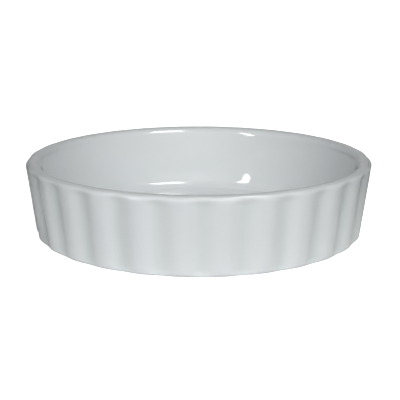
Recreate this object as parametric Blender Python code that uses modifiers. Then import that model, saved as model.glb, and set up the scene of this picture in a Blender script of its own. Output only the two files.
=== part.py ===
"""A small round creme brulee dish in white glazed porcelain, with a fluted outside.

The dish is one fired piece. It is turned from a profile, and its flutes are then pressed into
the outside of the turned wall, the way a mould forms them. Lengths are in metres and +Z is up.
The origin is the middle of the footprint, on the surface that the dish stands on.
"""

import math

import bpy

# Outside of the dish
RIM_DIAMETER = 0.120
HEIGHT = 0.026
WALL_DRAFT = math.radians(7.1)
BOTTOM_ROUND = 0.0018

# Lip, measured from a flute's crest to the inside of the wall
LIP_THICKNESS = 0.0054
LIP_OUTER_ROUND = 0.0021

# Inside: a leaning wall that curves in, then a tighter round to the floor
INNER_DRAFT = math.radians(9)
WALL_CURVE = 0.0200
CURVE_LEAN = math.radians(22)
FLOOR_FILLET = 0.0040
FLOOR_THICKNESS = 0.0020

# Underside: a flat ring to stand on, round a shallow hollow
FOOT_RING_WIDTH = 0.0045
FOOT_HOLLOW_DEPTH = 0.0005
FOOT_HOLLOW_SLOPE = 0.0012

# Flutes: round lobes with narrower grooves between them. They barely show on the lip, reach
# full depth over the rise below the lip's outer round, and grow shallower round the bottom edge.
FLUTE_COUNT = 28
FLUTE_DEPTH = 0.0012
FLUTE_RISE = 0.0008
GROOVE_SHARPNESS = 1.3
LIP_FLUTE_SHARE = 0.15
FOOT_FLUTE_SHARE = 0.25

# Fineness of the faceted surface
STEPS_PER_FLUTE = 8
FILLET_STEPS = 4
WALL_CURVE_STEPS = 2
LIP_STEPS = 4
BOTTOM_STEPS = 3
FLUTE_RISE_STEPS = 2
MERGE_DISTANCE = 0.00001
SHARP_EDGE_ANGLE = math.radians(40)

GLAZE_COLOUR = (0.70, 0.72, 0.73, 1.0)
BARE_COLOUR = (0.62, 0.60, 0.56, 1.0)


def clear_scene():
    """Remove whatever the scene holds at the start."""
    for old in list(bpy.data.objects):
        bpy.data.objects.remove(old, do_unlink=True)


def porcelain(name, colour, roughness, coat):
    """A porcelain finish: the fired body, with or without its coat of clear glaze."""
    material = bpy.data.materials.new(name)
    material.use_nodes = True
    shader = material.node_tree.nodes["Principled BSDF"]
    shader.inputs["Base Color"].default_value = colour
    shader.inputs["Roughness"].default_value = roughness
    shader.inputs["Metallic"].default_value = 0.0
    shader.inputs["Coat Weight"].default_value = coat
    material.diffuse_color = colour
    return material


def arc(centre, radius, start, end, steps):
    """Points along an arc in the profile's plane, from the start angle to the end angle."""
    points = []
    for step in range(steps + 1):
        angle = start + (end - start) * step / steps
        points.append((centre[0] + radius * math.cos(angle), centre[1] + radius * math.sin(angle)))
    return points


def smooth_step(share):
    """Ease from 0 to 1 with level ends."""
    share = min(max(share, 0.0), 1.0)
    return share * share * (3.0 - 2.0 * share)


def inner_surface():
    """The hollow's half profile, from the middle of the floor to the top of the lip.

    Each point, here and outside, is (radius, height, share of the full flute depth there).
    """
    lip_round = LIP_THICKNESS - LIP_OUTER_ROUND
    lip_centre = (RIM_DIAMETER / 2 - LIP_OUTER_ROUND, HEIGHT - lip_round)
    lip = arc(lip_centre, lip_round, math.pi - INNER_DRAFT, math.pi / 2, LIP_STEPS)
    wall_top = lip[0]
    lip = [(*point, LIP_FLUTE_SHARE * smooth_step(step / LIP_STEPS)) for step, point in enumerate(lip)]

    # The floor fillet and the wall's wide curve share a tangent where they meet, at CURVE_LEAN
    floor_height = FOOT_HOLLOW_DEPTH + FLOOR_THICKNESS
    centre_gap = WALL_CURVE - FLOOR_FILLET
    fillet_height = floor_height + FLOOR_FILLET
    curve_height = fillet_height + centre_gap * math.sin(CURVE_LEAN)
    wall_foot_height = curve_height - WALL_CURVE * math.sin(INNER_DRAFT)
    wall_foot_radius = wall_top[0] - (wall_top[1] - wall_foot_height) * math.tan(INNER_DRAFT)
    curve_radius = wall_foot_radius - WALL_CURVE * math.cos(INNER_DRAFT)
    fillet_radius = curve_radius + centre_gap * math.cos(CURVE_LEAN)
    fillet = arc((fillet_radius, fillet_height), FLOOR_FILLET, -math.pi / 2, -CURVE_LEAN, FILLET_STEPS)
    curve = arc((curve_radius, curve_height), WALL_CURVE, -CURVE_LEAN, -INNER_DRAFT, WALL_CURVE_STEPS)
    smooth = [(0.0, floor_height)] + fillet + curve[1:]
    return [(*point, 0.0) for point in smooth] + lip


def outer_surface():
    """The outside's half profile, from the lip down to the ring that the dish stands on."""
    lip_centre = (RIM_DIAMETER / 2 - LIP_OUTER_ROUND, HEIGHT - LIP_OUTER_ROUND)
    lip = arc(lip_centre, LIP_OUTER_ROUND, math.pi / 2, 0.0, LIP_STEPS)
    lip += arc(lip_centre, LIP_OUTER_ROUND, 0.0, -WALL_DRAFT, 1)[1:]
    wall_top = lip[-1]
    slope = math.tan(WALL_DRAFT)
    round_height = BOTTOM_ROUND * (1 - math.sin(WALL_DRAFT))
    wall_bottom = (wall_top[0] - (wall_top[1] - round_height) * slope, round_height)
    round_centre = (wall_bottom[0] - BOTTOM_ROUND * math.cos(WALL_DRAFT), BOTTOM_ROUND)
    bottom = arc(round_centre, BOTTOM_ROUND, -WALL_DRAFT, -math.pi / 2, BOTTOM_STEPS)

    upper_wall = []
    for step in range(1, FLUTE_RISE_STEPS + 1):
        drop = FLUTE_RISE * step / FLUTE_RISE_STEPS
        upper_wall.append((wall_top[0] - drop * slope, wall_top[1] - drop))

    shared = []
    for radius, height in lip[1:] + upper_wall + bottom:
        rise = smooth_step((HEIGHT - height) / (HEIGHT - upper_wall[-1][1]))
        fall = smooth_step((BOTTOM_ROUND - height) / BOTTOM_ROUND)
        share = LIP_FLUTE_SHARE + (1 - LIP_FLUTE_SHARE) * rise
        shared.append((radius, height, share * (1 - (1 - FOOT_FLUTE_SHARE) * fall)))
    return shared


def underside(ring_outer_radius):
    """The underside's half profile, from the flat ring's inner edge to the middle."""
    ring_inner_radius = ring_outer_radius - FOOT_RING_WIDTH
    hollow_radius = ring_inner_radius - FOOT_HOLLOW_SLOPE
    return [
        (ring_inner_radius, 0.0, 0.0),
        (hollow_radius, FOOT_HOLLOW_DEPTH, 0.0),
        (0.0, FOOT_HOLLOW_DEPTH, 0.0),
    ]


def dish_profile():
    """The whole half profile: up the inside, over the lip, down the outside and back below."""
    outside = outer_surface()
    return inner_surface() + outside + underside(outside[-1][0])


def turned_blank(collection):
    """Turn the profile into a plain dish, its flute shares kept as a vertex group."""
    profile = dish_profile()
    mesh = bpy.data.meshes.new("dish_profile")
    edges = [(index, index + 1) for index in range(len(profile) - 1)]
    mesh.from_pydata([(radius, 0.0, height) for radius, height, _ in profile], edges, [])
    blank = bpy.data.objects.new("dish", mesh)
    collection.objects.link(blank)

    shares = blank.vertex_groups.new(name="flute_share")
    for index, (_, _, share) in enumerate(profile):
        shares.add([index], share, "REPLACE")

    turn = blank.modifiers.new("turn", "SCREW")
    turn.axis = "Z"
    turn.angle = math.tau
    turn.steps = FLUTE_COUNT * STEPS_PER_FLUTE
    turn.render_steps = turn.steps
    turn.use_merge_vertices = True
    turn.merge_threshold = MERGE_DISTANCE
    return blank


def groove_share(angle):
    """How deep the flute pattern is at an angle: 0 on a lobe's crest, 1 in a groove's middle."""
    return ((1 - math.cos(FLUTE_COUNT * angle)) / 2) ** GROOVE_SHARPNESS


def press_flutes(blank):
    """Replace the turned blank's mesh by one with the flutes pressed into its outside."""
    graph = bpy.context.evaluated_depsgraph_get()
    turned = blank.evaluated_get(graph)
    mesh = bpy.data.meshes.new_from_object(turned, preserve_all_data_layers=True, depsgraph=graph)
    for vertex in mesh.vertices:
        share = sum(group.weight for group in vertex.groups)
        x, y, _ = vertex.co
        radius = math.hypot(x, y)
        if share > 0 and radius > 0:
            pressed = radius - FLUTE_DEPTH * share * groove_share(math.atan2(y, x))
            vertex.co.x = x * pressed / radius
            vertex.co.y = y * pressed / radius
    blank.modifiers.clear()
    blank.data = mesh
    mesh.name = "dish"
    return mesh


def finish_surface(mesh):
    """Glaze the dish all over but for the ring it stands on, which is left bare."""
    mesh.materials.clear()
    mesh.materials.append(porcelain("white_glaze", GLAZE_COLOUR, roughness=0.12, coat=0.6))
    mesh.materials.append(porcelain("bare_porcelain", BARE_COLOUR, roughness=0.7, coat=0.0))
    for face in mesh.polygons:
        stands = all(mesh.vertices[index].co.z < MERGE_DISTANCE for index in face.vertices)
        face.material_index = 1 if stands else 0
    mesh.shade_smooth()
    mesh.set_sharp_from_angle(angle=SHARP_EDGE_ANGLE)


def main():
    clear_scene()
    collection = bpy.data.collections.new("creme_brulee_dish")
    bpy.context.scene.collection.children.link(collection)
    blank = turned_blank(collection)
    finish_surface(press_flutes(blank))


main()
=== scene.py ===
"""A small fluted porcelain dish for creme brulee, in white glaze, on a plain studio floor."""

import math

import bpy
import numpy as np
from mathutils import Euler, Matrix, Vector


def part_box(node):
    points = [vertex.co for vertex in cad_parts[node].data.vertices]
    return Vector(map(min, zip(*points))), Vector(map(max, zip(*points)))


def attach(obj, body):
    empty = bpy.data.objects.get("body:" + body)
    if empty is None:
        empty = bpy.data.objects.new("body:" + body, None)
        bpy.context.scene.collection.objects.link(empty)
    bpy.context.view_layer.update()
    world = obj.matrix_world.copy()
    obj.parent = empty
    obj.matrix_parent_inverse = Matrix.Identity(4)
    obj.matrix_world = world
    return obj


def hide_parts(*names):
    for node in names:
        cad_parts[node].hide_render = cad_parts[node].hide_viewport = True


bl_info = {
    "name": "Creme brulee dish",
    "version": (1, 0, 0),
    "blender": (4, 5, 0),
    "location": "3D View > Sidebar > Dish",
    "description": "A fluted porcelain dish in white glaze, with its studio floor, lamps and camera",
    "category": "Object",
}

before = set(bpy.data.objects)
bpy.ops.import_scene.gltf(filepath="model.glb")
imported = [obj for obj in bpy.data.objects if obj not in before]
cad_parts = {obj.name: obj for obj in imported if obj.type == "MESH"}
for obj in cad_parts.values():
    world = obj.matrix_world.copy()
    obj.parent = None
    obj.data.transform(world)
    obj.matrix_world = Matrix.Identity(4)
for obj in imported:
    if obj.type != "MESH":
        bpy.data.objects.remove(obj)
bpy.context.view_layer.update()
NODE_LOW, NODE_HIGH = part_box("dish")

# Fineness of the turned surface: steps along each stretch of the profile, and round one flute
FLOOR_STEPS = 8
FILLET_STEPS = 14
WALL_CURVE_STEPS = 10
INNER_WALL_STEPS = 10
LIP_INNER_STEPS = 16
LIP_OUTER_STEPS = 14
OUTER_WALL_STEPS = 32
BOTTOM_STEPS = 10
SLOPE_STEPS = 4
UNDERSIDE_STEPS = 6
STEPS_PER_FLUTE = 20

# Heights that differ by less than this are level
LEVEL_TOLERANCE = 1e-6

# Rise in the flutes' share, outwards over the lip, over which the wear comes in
WEAR_FADE = 0.1

# Waves in a metre of each unevenness in the glaze, and then in the bare ring
CLOUD_SCALE = 28.0
SMEAR_SCALE = 60.0
WAVE_SCALE = 90.0
PEEL_SCALE = 900.0
STAIN_SCALE = 140.0
PATCH_SCALE = 400.0
GRAIN_SCALE = 3000.0

# Tints, each a share of the colour that it starts from
COOL_TINT = (0.985, 1.0, 1.012)
GREEN_TINT = (0.988, 1.0, 0.990)
POOLED_TINT = (0.925, 0.965, 0.955)
# Painted shade: the grey that darkens the top of the lip
LIP_SHADE_TINT = (0.90, 0.92, 0.92)
STAIN_TINT = (0.86, 0.82, 0.76)
GRIT_TINT = (0.6, 0.6, 0.6)

# Specks: their radius as a share of a cell, and the share of it up to which they are solid
SPECK_SIZE = 0.10
SPECK_CORE = 0.6

# Grit of the bare ring: cells in a metre, the share of them that hold a grain, and a grain's
# radius as a share of its cell
GRIT_DENSITY = 1600.0
GRIT_CHANCE = 0.12
GRIT_SIZE = 0.30

# The glaze's roughness wanders between two shares of its mean, the bare ring's between two values
SMOOTHEST_SHARE = 0.8
DULLEST_SHARE = 1.3
BARE_SMOOTHEST = 0.62
BARE_DULLEST = 0.85

# How strongly the clear glaze bends light
GLAZE_IOR = 1.52

# Lamps: angle to the camera's right, angle above the floor, width and height
HIGH_LAMP = (math.radians(33.0), math.radians(54.0), 0.45, 0.18)
SIDE_LAMP = (math.radians(-42.5), math.radians(33.0), 0.14, 0.34)
HIGH_STRIP = (math.radians(39.0), math.radians(59.0), 0.42, 0.56)
SIDE_STRIP = (math.radians(-42.5), math.radians(29.0), 0.14, 0.72)

# Height of the ground light above the floor
GROUND_LIGHT_LIFT = 0.002

# Roughness of the floor and the cards, and the camera's sensor in millimetres
STAGE_ROUGHNESS = 0.9
SENSOR_WIDTH = 36.0


class DishSizes(bpy.types.PropertyGroup):
    """The dish's own sizes. Its width and height come from the frame."""

    rim_radius: bpy.props.FloatProperty(
        name="Rim radius",
        description="From the dish's axis to the crest of a flute at the lip",
        default=NODE_HIGH.x,
        unit="LENGTH",
    )
    height: bpy.props.FloatProperty(
        name="Height",
        description="From the surface that the dish stands on to the top of the lip",
        default=NODE_HIGH.z - NODE_LOW.z,
        unit="LENGTH",
    )
    outer_draft: bpy.props.FloatProperty(
        name="Outer draft",
        description="How far the outside of the wall leans out",
        default=math.radians(7.1),
        subtype="ANGLE",
    )
    inner_draft: bpy.props.FloatProperty(
        name="Inner draft",
        description="How far the inside of the wall leans out",
        default=math.radians(9.0),
        subtype="ANGLE",
    )
    lip_thickness: bpy.props.FloatProperty(
        name="Lip thickness",
        description="Width of the rounded lip, from a flute's crest to the inside of the wall",
        default=0.0054,
        unit="LENGTH",
    )
    lip_outer_round: bpy.props.FloatProperty(
        name="Lip's outer round",
        description="Radius of the lip's outer edge",
        default=0.0021,
        unit="LENGTH",
    )
    floor_height: bpy.props.FloatProperty(
        name="Floor height",
        description="From the surface that the dish stands on to its floor inside",
        default=0.0025,
        unit="LENGTH",
    )
    floor_fillet: bpy.props.FloatProperty(
        name="Floor fillet",
        description="Radius of the tight round beside the floor inside",
        default=0.0040,
        unit="LENGTH",
    )
    wall_curve: bpy.props.FloatProperty(
        name="Wall curve",
        description="Radius of the wide round above the floor fillet, which runs into the wall",
        default=0.0200,
        unit="LENGTH",
    )
    curve_lean: bpy.props.FloatProperty(
        name="Lean between the rounds",
        description="Lean of the inside where the wide round meets the floor fillet",
        default=math.radians(22.0),
        subtype="ANGLE",
    )
    bottom_round: bpy.props.FloatProperty(
        name="Bottom round",
        description="Radius between the outside of the wall and the foot ring",
        default=0.0018,
        unit="LENGTH",
    )
    ring_width: bpy.props.FloatProperty(
        name="Foot ring width",
        description="Width of the flat ring that the dish stands on",
        default=0.0045,
        unit="LENGTH",
    )
    hollow_depth: bpy.props.FloatProperty(
        name="Foot hollow depth",
        description="Depth of the shallow hollow inside the foot ring",
        default=0.0005,
        unit="LENGTH",
    )
    hollow_slope: bpy.props.FloatProperty(
        name="Foot hollow slope",
        description="Width of the slope from the foot ring into the hollow",
        default=0.0012,
        unit="LENGTH",
    )
    flute_count: bpy.props.IntProperty(
        name="Flutes",
        description="Number of flutes round the outside",
        default=28,
    )
    flute_depth: bpy.props.FloatProperty(
        name="Flute depth",
        description="From a flute's crest to the bottom of the groove beside it",
        default=0.0012,
        unit="LENGTH",
    )
    flute_rise: bpy.props.FloatProperty(
        name="Flute rise",
        description="Height below the lip's outer round over which a flute reaches its full depth",
        default=0.0008,
        unit="LENGTH",
    )
    flute_fade: bpy.props.FloatProperty(
        name="Flute fade",
        description="Height above the foot over which the flutes grow shallower",
        default=0.0018,
        unit="LENGTH",
    )
    # Height of the band below the lip's top that is darkened with painted shade
    lip_shade_height: bpy.props.FloatProperty(
        name="Thin glaze",
        description="Height below the lip's top over which the glaze is thin and lets the body show",
        default=0.0012,
        unit="LENGTH",
    )
    worn_edge_height: bpy.props.FloatProperty(
        name="Worn edge",
        description="Height below the lip's top over which use has worn the outer edge's gloss",
        default=0.0028,
        unit="LENGTH",
    )
    scuff_share: bpy.props.FloatProperty(
        name="Scuffs on the floor",
        description="How worn the gloss of the floor inside is, as a share of the worn edge",
        default=0.4,
        subtype="FACTOR",
    )
    groove_sharpness: bpy.props.FloatProperty(
        name="Groove sharpness",
        description="1 makes the grooves as wide as the lobes, and more makes them narrower",
        default=1.3,
    )
    lip_share: bpy.props.FloatProperty(
        name="Share on the lip",
        description="Share of the flutes' depth that shows on top of the lip",
        default=0.15,
        subtype="FACTOR",
    )
    foot_share: bpy.props.FloatProperty(
        name="Share at the foot",
        description="Share of the flutes' depth that is left at the foot ring",
        default=0.25,
        subtype="FACTOR",
    )


class DishFinish(bpy.types.PropertyGroup):
    """Colours and gloss of the glaze and of the bare foot ring."""

    glaze: bpy.props.FloatVectorProperty(
        name="Glaze",
        description="Colour of the glazed porcelain",
        default=(0.795, 0.812, 0.822),
        size=3,
        min=0.0,
        max=1.0,
        subtype="COLOR",
    )
    bare: bpy.props.FloatVectorProperty(
        name="Bare porcelain",
        description="Colour of the ring that is left without glaze",
        default=(0.60, 0.57, 0.52),
        size=3,
        min=0.0,
        max=1.0,
        subtype="COLOR",
    )
    speck: bpy.props.FloatVectorProperty(
        name="Speck",
        description="Colour of the few tiny iron specks under the glaze",
        default=(0.60, 0.57, 0.52),
        size=3,
        min=0.0,
        max=1.0,
        subtype="COLOR",
    )
    speck_density: bpy.props.FloatProperty(
        name="Speck density",
        description="Cells of the specks' lattice in a metre",
        default=420.0,
    )
    speck_chance: bpy.props.FloatProperty(
        name="Speck chance",
        description="Share of the lattice's cells that hold a speck",
        default=0.01,
        subtype="FACTOR",
    )
    glaze_roughness: bpy.props.FloatProperty(
        name="Glaze roughness",
        description="Mean roughness of the glaze",
        default=0.05,
        subtype="FACTOR",
    )
    edge_roughness: bpy.props.FloatProperty(
        name="Edge roughness",
        description="Roughness added where use has worn the gloss, in full on the lip's outer round",
        default=0.45,
        subtype="FACTOR",
    )
    glaze_waves: bpy.props.FloatProperty(
        name="Glaze waves",
        description="Height of the glaze's slow unevenness",
        default=0.00002,
        unit="LENGTH",
    )
    glaze_peel: bpy.props.FloatProperty(
        name="Glaze peel",
        description="Height of the glaze's fine orange-peel surface",
        default=0.000004,
        unit="LENGTH",
    )
    ring_grain: bpy.props.FloatProperty(
        name="Ring grain",
        description="Height of the fine grain on the bare foot ring",
        default=0.00006,
        unit="LENGTH",
    )


class DishStudio(bpy.types.PropertyGroup):
    """Camera, lamps, floor and surrounding light."""

    camera_distance: bpy.props.FloatProperty(
        name="Camera distance",
        description="From the middle of the footprint to the camera",
        default=0.3416,
        unit="LENGTH",
    )
    camera_elevation: bpy.props.FloatProperty(
        name="Camera elevation",
        description="Angle of the camera above the floor",
        default=math.radians(16.01),
        subtype="ANGLE",
    )
    camera_azimuth: bpy.props.FloatProperty(
        name="Camera azimuth",
        description="Angle of the camera round the dish, from -Y towards +X",
        default=math.radians(5.38),
        subtype="ANGLE",
    )
    camera_roll: bpy.props.FloatProperty(
        name="Camera roll",
        description="Turn of the camera about its line of sight",
        default=math.radians(-0.07),
        subtype="ANGLE",
    )
    camera_lens: bpy.props.FloatProperty(
        name="Focal length",
        description="Focal length on a sensor 36 mm wide, in millimetres",
        default=85.85,
        unit="CAMERA",
    )
    camera_aim: bpy.props.FloatVectorProperty(
        name="Camera aim",
        description="The point that the camera looks at, as seen from the camera's side of the dish",
        default=(0.00042, 0.0, 0.00971),
        size=3,
        subtype="TRANSLATION",
        unit="LENGTH",
    )
    front_elevation: bpy.props.FloatProperty(
        name="Front light's elevation",
        description="Angle of the soft front light above the floor",
        default=math.radians(25.0),
        subtype="ANGLE",
    )
    front_azimuth: bpy.props.FloatProperty(
        name="Front light's azimuth",
        description="Angle of the soft front light to the camera's right",
        default=math.radians(5.0),
        subtype="ANGLE",
    )
    front_strength: bpy.props.FloatProperty(
        name="Front light's strength",
        description="Strength of the soft light from the front half of the room",
        default=2.78,
    )
    front_falloff: bpy.props.FloatProperty(
        name="Front light's falloff",
        description="Higher values make the soft front light narrower",
        default=9.0,
    )
    back_elevation: bpy.props.FloatProperty(
        name="Back light's elevation",
        description="Angle of the soft back light above the floor",
        default=math.radians(8.0),
        subtype="ANGLE",
    )
    back_strength: bpy.props.FloatProperty(
        name="Back light's strength",
        description="Strength of the soft light from behind the dish",
        default=1.3,
    )
    back_falloff: bpy.props.FloatProperty(
        name="Back light's falloff",
        description="Higher values make the soft back light narrower",
        default=12.0,
    )
    room_strength: bpy.props.FloatProperty(
        name="Room light's strength",
        description="Strength of the dim light that comes from all round",
        default=0.04,
    )
    mirrored_share: bpy.props.FloatProperty(
        name="Mirrored share",
        description="Share of the soft light that the glaze mirrors, as if the room were mostly dark",
        default=0.3,
        subtype="FACTOR",
    )
    lamp_distance: bpy.props.FloatProperty(
        name="Lamp distance",
        description="From the middle of the footprint to both softboxes and their strips",
        default=1.2,
        unit="LENGTH",
    )
    high_power: bpy.props.FloatProperty(
        name="High lamp's power",
        description="Power of the softbox high on the right, in watts",
        default=3.3,
        unit="POWER",
    )
    side_power: bpy.props.FloatProperty(
        name="Side lamp's power",
        description="Power of the softbox on the left, in watts",
        default=1.5,
        unit="POWER",
    )
    high_strip_power: bpy.props.FloatProperty(
        name="High strip's power",
        description="Power of the high softbox's bright strip, in watts",
        default=6.5,
        unit="POWER",
    )
    side_strip_power: bpy.props.FloatProperty(
        name="Side strip's power",
        description="Power of the side softbox's bright strip, in watts",
        default=3.8,
        unit="POWER",
    )
    ground_distance: bpy.props.FloatProperty(
        name="Ground light's distance",
        description="From the dish's axis to the middle of the light that lies behind it",
        default=0.32,
        unit="LENGTH",
    )
    ground_width: bpy.props.FloatProperty(
        name="Ground light's width",
        description="Width of the light that lies behind the dish",
        default=1.20,
        unit="LENGTH",
    )
    ground_depth: bpy.props.FloatProperty(
        name="Ground light's depth",
        description="Depth of the light that lies behind the dish, along the camera's line of sight",
        default=0.40,
        unit="LENGTH",
    )
    ground_power: bpy.props.FloatProperty(
        name="Ground light's power",
        description="Power of the light that lies behind the dish, in watts",
        default=7.0,
        unit="POWER",
    )
    floor_width: bpy.props.FloatProperty(
        name="Floor width",
        description="Width and depth of the pale floor",
        default=6.0,
        unit="LENGTH",
    )
    floor_colour: bpy.props.FloatVectorProperty(
        name="Floor colour",
        description="Colour of the pale floor, as the dish mirrors it and is lit by it",
        default=(0.84, 0.84, 0.84),
        size=3,
        min=0.0,
        max=1.0,
        subtype="COLOR",
    )
    card_distance: bpy.props.FloatProperty(
        name="Card distance",
        description="From the dish's axis to the dark card on each side",
        default=0.100,
        unit="LENGTH",
    )
    card_height: bpy.props.FloatProperty(
        name="Card height",
        description="Height of the dark cards",
        default=0.060,
        unit="LENGTH",
    )
    card_depth: bpy.props.FloatProperty(
        name="Card depth",
        description="Length of the dark cards along the camera's line of sight",
        default=0.160,
        unit="LENGTH",
    )
    card_colour: bpy.props.FloatVectorProperty(
        name="Card colour",
        description="Colour of the dark cards",
        default=(0.14, 0.16, 0.14),
        size=3,
        min=0.0,
        max=1.0,
        subtype="COLOR",
    )


def to_world_from_camera_side(vector, studio):
    """Turn a direction or a place, given as seen from the camera's side, into the dish's frame."""
    return Euler((0.0, 0.0, studio.camera_azimuth)).to_matrix() @ Vector(vector)


def arc(centre, radius, start, end, steps):
    """Points along an arc in the profile's plane, from the start angle to the end angle."""
    angles = np.linspace(start, end, steps + 1)
    across, up = centre
    return [(across + radius * math.cos(angle), up + radius * math.sin(angle)) for angle in angles]


def line(start, end, steps):
    """Points along a straight line, without its two ends."""
    start = np.array(start)
    reach = np.array(end) - start
    return [tuple(start + reach * step / steps) for step in range(1, steps)]


def smooth_step(share):
    """Ease from 0 to 1 with level ends."""
    share = min(max(share, 0.0), 1.0)
    return share * share * (3.0 - 2.0 * share)


def inner_profile(sizes):
    """From the middle of the floor up the inside to the top of the lip.

    Each point, here and in the two profiles below, is its radius, its height, and the share of
    the flutes' full depth there.
    """
    lip_round = sizes.lip_thickness - sizes.lip_outer_round
    lip_centre = (sizes.rim_radius - sizes.lip_outer_round, sizes.height - lip_round)
    lip = arc(lip_centre, lip_round, math.pi - sizes.inner_draft, math.pi / 2, LIP_INNER_STEPS)
    wall_top = lip[0]

    # The floor fillet and the wall's wide curve share a tangent where they meet
    centre_gap = sizes.wall_curve - sizes.floor_fillet
    fillet_height = sizes.floor_height + sizes.floor_fillet
    curve_height = fillet_height + centre_gap * math.sin(sizes.curve_lean)
    wall_foot_height = curve_height - sizes.wall_curve * math.sin(sizes.inner_draft)
    wall_foot_radius = wall_top[0] - (wall_top[1] - wall_foot_height) * math.tan(sizes.inner_draft)
    curve_centre = (wall_foot_radius - sizes.wall_curve * math.cos(sizes.inner_draft), curve_height)
    fillet_centre = (curve_centre[0] + centre_gap * math.cos(sizes.curve_lean), fillet_height)

    fillet = arc(fillet_centre, sizes.floor_fillet, -math.pi / 2, -sizes.curve_lean, FILLET_STEPS)
    curve = arc(curve_centre, sizes.wall_curve, -sizes.curve_lean, -sizes.inner_draft, WALL_CURVE_STEPS)
    middle = (0.0, sizes.floor_height)
    floor = [middle] + line(middle, fillet[0], FLOOR_STEPS)
    wall = line(curve[-1], wall_top, INNER_WALL_STEPS)
    points = [(radius, height, 0.0) for radius, height in floor + fillet + curve[1:] + wall]
    for step, (radius, height) in enumerate(lip):
        points.append((radius, height, sizes.lip_share * smooth_step(step / LIP_INNER_STEPS)))
    return points


def outer_profile(sizes):
    """From the top of the lip down the outside to the foot ring."""
    lip_centre = (sizes.rim_radius - sizes.lip_outer_round, sizes.height - sizes.lip_outer_round)
    lip = arc(lip_centre, sizes.lip_outer_round, math.pi / 2, -sizes.outer_draft, LIP_OUTER_STEPS)
    top_radius, top_height = lip[-1]
    round_height = sizes.bottom_round * (1 - math.sin(sizes.outer_draft))
    bottom_radius = top_radius - (top_height - round_height) * math.tan(sizes.outer_draft)
    round_centre = (bottom_radius - sizes.bottom_round * math.cos(sizes.outer_draft), sizes.bottom_round)
    bottom = arc(round_centre, sizes.bottom_round, -sizes.outer_draft, -math.pi / 2, BOTTOM_STEPS)
    wall = line(lip[-1], bottom[0], OUTER_WALL_STEPS)
    points = []
    for radius, height in lip[1:] + wall + bottom:
        rise = smooth_step((sizes.height - height) / (sizes.height - top_height + sizes.flute_rise))
        fall = smooth_step(1 - height / sizes.flute_fade)
        share = sizes.lip_share + (1 - sizes.lip_share) * rise
        points.append((radius, height, share * (1 - (1 - sizes.foot_share) * fall)))
    return points


def under_profile(sizes, ring_outer_radius):
    """From the foot ring's inner edge to the middle of the underside."""
    ring_edge = (ring_outer_radius - sizes.ring_width, 0.0)
    hollow_edge = (ring_edge[0] - sizes.hollow_slope, sizes.hollow_depth)
    middle = (0.0, sizes.hollow_depth)
    slope = [ring_edge] + line(ring_edge, hollow_edge, SLOPE_STEPS)
    flat = [hollow_edge] + line(hollow_edge, middle, UNDERSIDE_STEPS)
    return [(radius, height, 0.0) for radius, height in slope + flat + [middle]]


def worn_share(sizes, height, share):
    """How worn the gloss is at a point of the profile: on the lip's outer edge and on the floor."""
    outside = smooth_step((share - sizes.lip_share) / WEAR_FADE)
    near_edge = smooth_step(1 - (sizes.height - height) / sizes.worn_edge_height)
    on_floor = sizes.scuff_share if abs(height - sizes.floor_height) < LEVEL_TOLERANCE else 0.0
    return max(outside * near_edge, on_floor)


def turned_faces(ring_count, count):
    """A fan round the first point, a band between each two rings, and a fan round the last point."""
    pairs = [(place, (place + 1) % count) for place in range(count)]
    faces = [(0, 1 + here, 1 + there) for here, there in pairs]
    start = 1
    for _ in range(ring_count - 1):
        below = start + count
        faces += [(start + here, below + here, below + there, start + there) for here, there in pairs]
        start = below
    faces += [(start + here, start + count, start + there) for here, there in pairs]
    return faces


def fluted_mesh(name, profile, sizes):
    """Turn the profile about the axis, with the flutes pressed into its outside.

    The mesh keeps, for every point, how much the glaze pools there, how much painted shade darkens it near
    the lip's top, and how worn it is.
    """
    count = sizes.flute_count * STEPS_PER_FLUTE
    angles = np.arange(count) * (2 * math.pi / count)
    groove = ((1 - np.cos(sizes.flute_count * angles)) / 2) ** sizes.groove_sharpness
    first, *rings, last = profile
    vertices = [(0.0, 0.0, first[1])]
    pooled = [0.0]
    thin = [0.0]
    worn = [sizes.scuff_share]
    for radius, height, share in rings:
        pressed = radius - sizes.flute_depth * share * groove
        vertices += list(zip(pressed * np.cos(angles), pressed * np.sin(angles), np.full(count, height)))
        pooled += list(share * groove ** 2)
        # Painted shade, full at the top of the lip and fading out below it
        thin += [smooth_step(1 - (sizes.height - height) / sizes.lip_shade_height)] * count
        worn += [worn_share(sizes, height, share)] * count
    vertices.append((0.0, 0.0, last[1]))
    mesh = bpy.data.meshes.new(name)
    mesh.from_pydata(vertices, [], turned_faces(len(rings), count))
    mesh.update()
    for key, values in (("pooled_glaze", pooled), ("painted_lip_shade", thin), ("worn_edge", worn)):
        mesh.attributes.new(key, "FLOAT", "POINT").data.foreach_set("value", values + [0.0])
    return mesh


def new_material(name):
    """A new material, with its nodes and its shader."""
    material = bpy.data.materials.new(name)
    material.use_nodes = True
    nodes = material.node_tree.nodes
    return material, nodes, nodes["Principled BSDF"]


def opaque(colour, tint=(1.0, 1.0, 1.0)):
    """A colour times a tint, with the full opacity that a socket asks for."""
    return (*(part * share for part, share in zip(colour, tint)), 1.0)


def feed(socket, value):
    """Set a socket to a plain value, or join another node's output to it."""
    if isinstance(value, bpy.types.NodeSocket):
        socket.id_data.links.new(value, socket)
    else:
        socket.default_value = value


def combine(nodes, operation, *values):
    """One step of arithmetic. Each value may be a plain number or another node's output."""
    step = nodes.new("ShaderNodeMath")
    step.operation = operation
    for socket, value in zip(step.inputs, values):
        feed(socket, value)
    return step.outputs["Value"]


def blend(nodes, share, first, second):
    """A colour between two others. Either may be a plain colour or another node's output."""
    mix = nodes.new("ShaderNodeMix")
    mix.data_type = "RGBA"
    feed(mix.inputs["Factor"], share)
    feed(mix.inputs["A"], first)
    feed(mix.inputs["B"], second)
    return mix.outputs["Result"]


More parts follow.
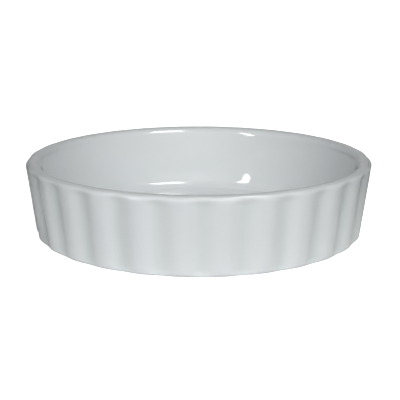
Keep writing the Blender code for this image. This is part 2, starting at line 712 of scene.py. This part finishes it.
def spread(nodes, value, low, high, new_low=0.0, new_high=1.0):
    """Stretch a value from one range to another, and stop it at the new range's ends."""
    ranged = nodes.new("ShaderNodeMapRange")
    feed(ranged.inputs["Value"], value)
    for name, number in (("From Min", low), ("From Max", high), ("To Min", new_low), ("To Max", new_high)):
        feed(ranged.inputs[name], number)
    return ranged.outputs["Result"]


def attribute(nodes, name):
    """What the mesh keeps under a name, for every point of its surface."""
    kept = nodes.new("ShaderNodeAttribute")
    kept.attribute_name = name
    return kept.outputs["Fac"]


def noise(nodes, place, scale, detail):
    """A soft noise through the body, at so many waves per metre."""
    texture = nodes.new("ShaderNodeTexNoise")
    feed(texture.inputs["Vector"], place)
    feed(texture.inputs["Scale"], scale)
    feed(texture.inputs["Detail"], detail)
    return texture.outputs["Fac"]


def bump(nodes, height, distance, under=None):
    """Raise the surface by a height from 0 to 1 times a distance, over another bump if there is one."""
    raised = nodes.new("ShaderNodeBump")
    feed(raised.inputs["Height"], height)
    feed(raised.inputs["Distance"], distance)
    if under is not None:
        feed(raised.inputs["Normal"], under)
    return raised.outputs["Normal"]


def specks(nodes, place, density, chance, size):
    """Tiny round specks in a few of the cells of a 3-D lattice."""
    cells = nodes.new("ShaderNodeTexVoronoi")
    feed(cells.inputs["Vector"], place)
    feed(cells.inputs["Scale"], density)
    # 1 in a speck's core, and 0 from its edge on
    near = spread(nodes, cells.outputs["Distance"], low=size, high=size * SPECK_CORE)
    split = nodes.new("ShaderNodeSeparateColor")
    feed(split.inputs["Color"], cells.outputs["Color"])
    chosen = combine(nodes, "LESS_THAN", split.outputs["Red"], chance)
    return combine(nodes, "MULTIPLY", near, chosen)


def glaze_material(finish):
    """White body under a clear glossy glaze, which pools in the grooves, with painted shade darkening the
    top of the lip.
    """
    material, nodes, shader = new_material("glazed_body")
    place = nodes.new("ShaderNodeTexCoord").outputs["Object"]

    clouds = spread(nodes, noise(nodes, place, CLOUD_SCALE, detail=3.0), low=0.35, high=0.65)
    body = blend(nodes, clouds, opaque(finish.glaze, COOL_TINT), opaque(finish.glaze, GREEN_TINT))
    body = blend(nodes, attribute(nodes, "pooled_glaze"), body, opaque(finish.glaze, POOLED_TINT))
    # Painted shade: the top of the lip is greyed
    body = blend(nodes, attribute(nodes, "painted_lip_shade"), body, opaque(finish.glaze, LIP_SHADE_TINT))
    dots = specks(nodes, place, finish.speck_density, finish.speck_chance, SPECK_SIZE)
    feed(shader.inputs["Base Color"], blend(nodes, dots, body, opaque(finish.speck)))

    smears = noise(nodes, place, SMEAR_SCALE, detail=4.0)
    smoothest = finish.glaze_roughness * SMOOTHEST_SHARE
    dullest = finish.glaze_roughness * DULLEST_SHARE
    gloss = spread(nodes, smears, low=0.3, high=0.7, new_low=smoothest, new_high=dullest)
    worn = attribute(nodes, "worn_edge")
    duller = combine(nodes, "MULTIPLY_ADD", worn, finish.edge_roughness, gloss)
    feed(shader.inputs["Roughness"], duller)
    feed(shader.inputs["IOR"], GLAZE_IOR)

    waves = bump(nodes, noise(nodes, place, WAVE_SCALE, detail=1.0), finish.glaze_waves)
    peel = bump(nodes, noise(nodes, place, PEEL_SCALE, detail=2.0), finish.glaze_peel, waves)
    feed(shader.inputs["Normal"], peel)
    return material


def bare_material(finish):
    """Fired porcelain without glaze: matt, finely grained, and a little stained by use."""
    material, nodes, shader = new_material("bare_ring")
    place = nodes.new("ShaderNodeTexCoord").outputs["Object"]

    stain = spread(nodes, noise(nodes, place, STAIN_SCALE, detail=5.0), low=0.45, high=0.75)
    body = blend(nodes, stain, opaque(finish.bare), opaque(finish.bare, STAIN_TINT))
    grit = specks(nodes, place, GRIT_DENSITY, GRIT_CHANCE, GRIT_SIZE)
    feed(shader.inputs["Base Color"], blend(nodes, grit, body, opaque(finish.bare, GRIT_TINT)))

    patches = noise(nodes, place, PATCH_SCALE, detail=3.0)
    rough = spread(nodes, patches, low=0.3, high=0.7, new_low=BARE_SMOOTHEST, new_high=BARE_DULLEST)
    feed(shader.inputs["Roughness"], rough)
    grain = bump(nodes, noise(nodes, place, GRAIN_SCALE, detail=3.0), finish.ring_grain)
    feed(shader.inputs["Normal"], grain)
    return material


class DISH_OT_make_dish(bpy.types.Operator):
    """Make the fluted dish in white glaze"""

    bl_idname = "dish.make_dish"
    bl_label = "Make the dish"
    bl_options = {"REGISTER", "UNDO"}

    def execute(self, context):
        sizes = context.scene.dish_sizes
        finish = context.scene.dish_finish
        outside = outer_profile(sizes)
        profile = inner_profile(sizes) + outside + under_profile(sizes, outside[-1][0])
        mesh = fluted_mesh("fluted_dish", profile, sizes)
        mesh.materials.append(glaze_material(finish))
        mesh.materials.append(bare_material(finish))
        for face in mesh.polygons:
            stands = all(mesh.vertices[index].co.z < LEVEL_TOLERANCE for index in face.vertices)
            face.material_index = 1 if stands else 0
        mesh.shade_smooth()
        dish = bpy.data.objects.new("fluted_dish", mesh)
        context.scene.collection.objects.link(dish)
        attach(dish, "root")
        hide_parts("dish")
        return {"FINISHED"}


class DISH_OT_set_stage(bpy.types.Operator):
    """Lay the floor, hang the lamps and place the camera"""

    bl_idname = "dish.set_stage"
    bl_label = "Set the stage"
    bl_options = {"REGISTER", "UNDO"}

    def execute(self, context):
        studio = context.scene.dish_studio
        make_floor(context, studio)
        make_cards(context, studio)
        make_world(context, studio)
        make_lamps(context, studio)
        make_ground_light(context, studio)
        make_camera(context, studio)
        return {"FINISHED"}


def flat_object(context, name, corners, material):
    """One flat face between four corners."""
    mesh = bpy.data.meshes.new(name)
    mesh.from_pydata(corners, [], [(0, 1, 2, 3)])
    mesh.materials.append(material)
    flat = bpy.data.objects.new(name, mesh)
    context.scene.collection.objects.link(flat)
    return flat


def make_floor(context, studio):
    """A wide pale floor, to which white is added where the camera sees it."""
    material, nodes, shader = new_material("pale_floor")
    feed(shader.inputs["Base Color"], opaque(studio.floor_colour))
    feed(shader.inputs["Roughness"], STAGE_ROUGHNESS)
    white = nodes.new("ShaderNodeEmission")
    feed(white.inputs["Strength"], 1.0)
    both = nodes.new("ShaderNodeAddShader")
    feed(both.inputs[0], shader.outputs["BSDF"])
    feed(both.inputs[1], white.outputs["Emission"])
    seen = nodes.new("ShaderNodeMixShader")
    path = nodes.new("ShaderNodeLightPath")
    feed(seen.inputs[0], path.outputs["Is Camera Ray"])
    feed(seen.inputs[1], shader.outputs["BSDF"])
    feed(seen.inputs[2], both.outputs["Shader"])
    feed(nodes["Material Output"].inputs["Surface"], seen.outputs["Shader"])
    half = studio.floor_width / 2
    corners = ((-half, -half, 0.0), (half, -half, 0.0), (half, half, 0.0), (-half, half, 0.0))
    floor = flat_object(context, "floor", corners, material)


def make_cards(context, studio):
    """Two dark cards, one on each side of the dish, which the camera doesn't see."""
    material, _, shader = new_material("dark_card")
    feed(shader.inputs["Base Color"], opaque(studio.card_colour))
    feed(shader.inputs["Roughness"], STAGE_ROUGHNESS)
    half = studio.card_depth / 2
    top = studio.card_height
    for name, side in (("left_card", -1), ("right_card", 1)):
        x = side * studio.card_distance
        corners = ((x, -half, 0.0), (x, half, 0.0), (x, half, top), (x, -half, top))
        turned = [to_world_from_camera_side(corner, studio) for corner in corners]
        card = flat_object(context, name, turned, material)
        card.visible_camera = False


def direction(azimuth, elevation):
    """A direction by its angles, as seen from the camera's side of the dish."""
    level = math.cos(elevation)
    return Vector((math.sin(azimuth) * level, -math.cos(azimuth) * level, math.sin(elevation)))


def lobe(nodes, place, toward, strength, falloff, under):
    """A soft light that fades away from one direction, on top of another light's strength."""
    facing = nodes.new("ShaderNodeVectorMath")
    facing.operation = "DOT_PRODUCT"
    feed(facing.inputs[0], place)
    feed(facing.inputs[1], toward)
    near_half = combine(nodes, "MAXIMUM", facing.outputs["Value"], 0.0)
    fade = combine(nodes, "POWER", near_half, falloff)
    return combine(nodes, "MULTIPLY_ADD", fade, strength, under)


def make_world(context, studio):
    """Soft light from the front and less from behind, over a dim light from all round."""
    world = bpy.data.worlds.new("studio")
    context.scene.world = world
    world.use_nodes = True
    nodes = world.node_tree.nodes
    background = nodes["Background"]
    feed(background.inputs["Color"], (1.0, 1.0, 1.0, 1.0))
    place = nodes.new("ShaderNodeTexCoord").outputs["Generated"]
    front = to_world_from_camera_side(direction(studio.front_azimuth, studio.front_elevation), studio)
    back = to_world_from_camera_side(direction(math.pi, studio.back_elevation), studio)
    strength = lobe(nodes, place, back, studio.back_strength, studio.back_falloff, studio.room_strength)
    strength = lobe(nodes, place, front, studio.front_strength, studio.front_falloff, strength)

    # The glaze mirrors a share of this light, and the camera sees at least white
    path = nodes.new("ShaderNodeLightPath")
    glossy = path.outputs["Is Glossy Ray"]
    share = spread(nodes, glossy, low=0.0, high=1.0, new_low=1.0, new_high=studio.mirrored_share)
    mirrored = combine(nodes, "MULTIPLY", strength, share)
    seen = combine(nodes, "MAXIMUM", mirrored, path.outputs["Is Camera Ray"])
    feed(background.inputs["Strength"], seen)


def area_lamp(context, name, width, height, power):
    """A rectangular lamp that the camera doesn't see."""
    data = bpy.data.lights.new(name, "AREA")
    data.shape = "RECTANGLE"
    data.size = width
    data.size_y = height
    data.energy = power
    lamp = bpy.data.objects.new(name, data)
    lamp.visible_camera = False
    context.scene.collection.objects.link(lamp)
    return lamp


def make_lamps(context, studio):
    """Two softboxes in front of the dish, each with a bright strip that only the glaze mirrors."""
    lamps = (
        ("high_lamp", HIGH_LAMP, studio.high_power, True),
        ("side_lamp", SIDE_LAMP, studio.side_power, True),
        ("high_strip", HIGH_STRIP, studio.high_strip_power, False),
        ("side_strip", SIDE_STRIP, studio.side_strip_power, False),
    )
    for name, (azimuth, elevation, width, height), power, lights_dish in lamps:
        lamp = area_lamp(context, name, width, height, power)
        lamp.visible_diffuse = lights_dish
        away = to_world_from_camera_side(direction(azimuth, elevation), studio)
        lamp.location = away * studio.lamp_distance
        lamp.rotation_mode = "QUATERNION"
        lamp.rotation_quaternion = away.to_track_quat("Z", "Y")


def make_ground_light(context, studio):
    """A soft light that lies behind the dish and shines up, so that it reaches mostly its far side."""
    lamp = area_lamp(context, "ground_light", studio.ground_width, studio.ground_depth, studio.ground_power)
    lamp.visible_glossy = False
    lamp.location = to_world_from_camera_side((0.0, studio.ground_distance, GROUND_LIGHT_LIFT), studio)
    lamp.rotation_euler = (math.pi, 0.0, studio.camera_azimuth)


def make_camera(context, studio):
    """The camera, a little above the dish and in front of it."""
    data = bpy.data.cameras.new("camera")
    data.sensor_width = SENSOR_WIDTH
    data.lens = studio.camera_lens
    camera = bpy.data.objects.new("camera", data)
    context.scene.collection.objects.link(camera)
    context.scene.camera = camera
    distance = studio.camera_distance
    elevation = studio.camera_elevation
    place = (0.0, -distance * math.cos(elevation), distance * math.sin(elevation))
    place = to_world_from_camera_side(place, studio)
    aim = to_world_from_camera_side(studio.camera_aim, studio)
    camera.location = place
    look = (aim - place).to_track_quat("-Z", "Y")
    roll = Euler((0.0, 0.0, -studio.camera_roll)).to_quaternion()
    camera.rotation_mode = "QUATERNION"
    camera.rotation_quaternion = look @ roll
    context.scene.view_settings.view_transform = "Standard"


class DISH_PT_sidebar(bpy.types.Panel):
    """Sizes, finish and stage of the dish"""

    bl_idname = "DISH_PT_sidebar"
    bl_label = "Creme brulee dish"
    bl_space_type = "VIEW_3D"
    bl_region_type = "UI"
    bl_category = "Dish"

    def draw(self, context):
        layout = self.layout
        for group in (context.scene.dish_sizes, context.scene.dish_finish, context.scene.dish_studio):
            box = layout.box()
            for name in group.__annotations__:
                box.prop(group, name)
        layout.operator(DISH_OT_make_dish.bl_idname)
        layout.operator(DISH_OT_set_stage.bl_idname)


CLASSES = (DishSizes, DishFinish, DishStudio, DISH_OT_make_dish, DISH_OT_set_stage, DISH_PT_sidebar)


def register():
    """Add the classes to Blender, and the values to its scene."""
    for cls in CLASSES:
        bpy.utils.register_class(cls)
    bpy.types.Scene.dish_sizes = bpy.props.PointerProperty(type=DishSizes)
    bpy.types.Scene.dish_finish = bpy.props.PointerProperty(type=DishFinish)
    bpy.types.Scene.dish_studio = bpy.props.PointerProperty(type=DishStudio)


def unregister():
    """Take the values and the classes away again."""
    del bpy.types.Scene.dish_studio
    del bpy.types.Scene.dish_finish
    del bpy.types.Scene.dish_sizes
    for cls in reversed(CLASSES):
        bpy.utils.unregister_class(cls)


def main():
    """Make the dish and its stage."""
    register()
    bpy.ops.dish.make_dish()
    bpy.ops.dish.set_stage()


if __name__ == "__main__":
    main()
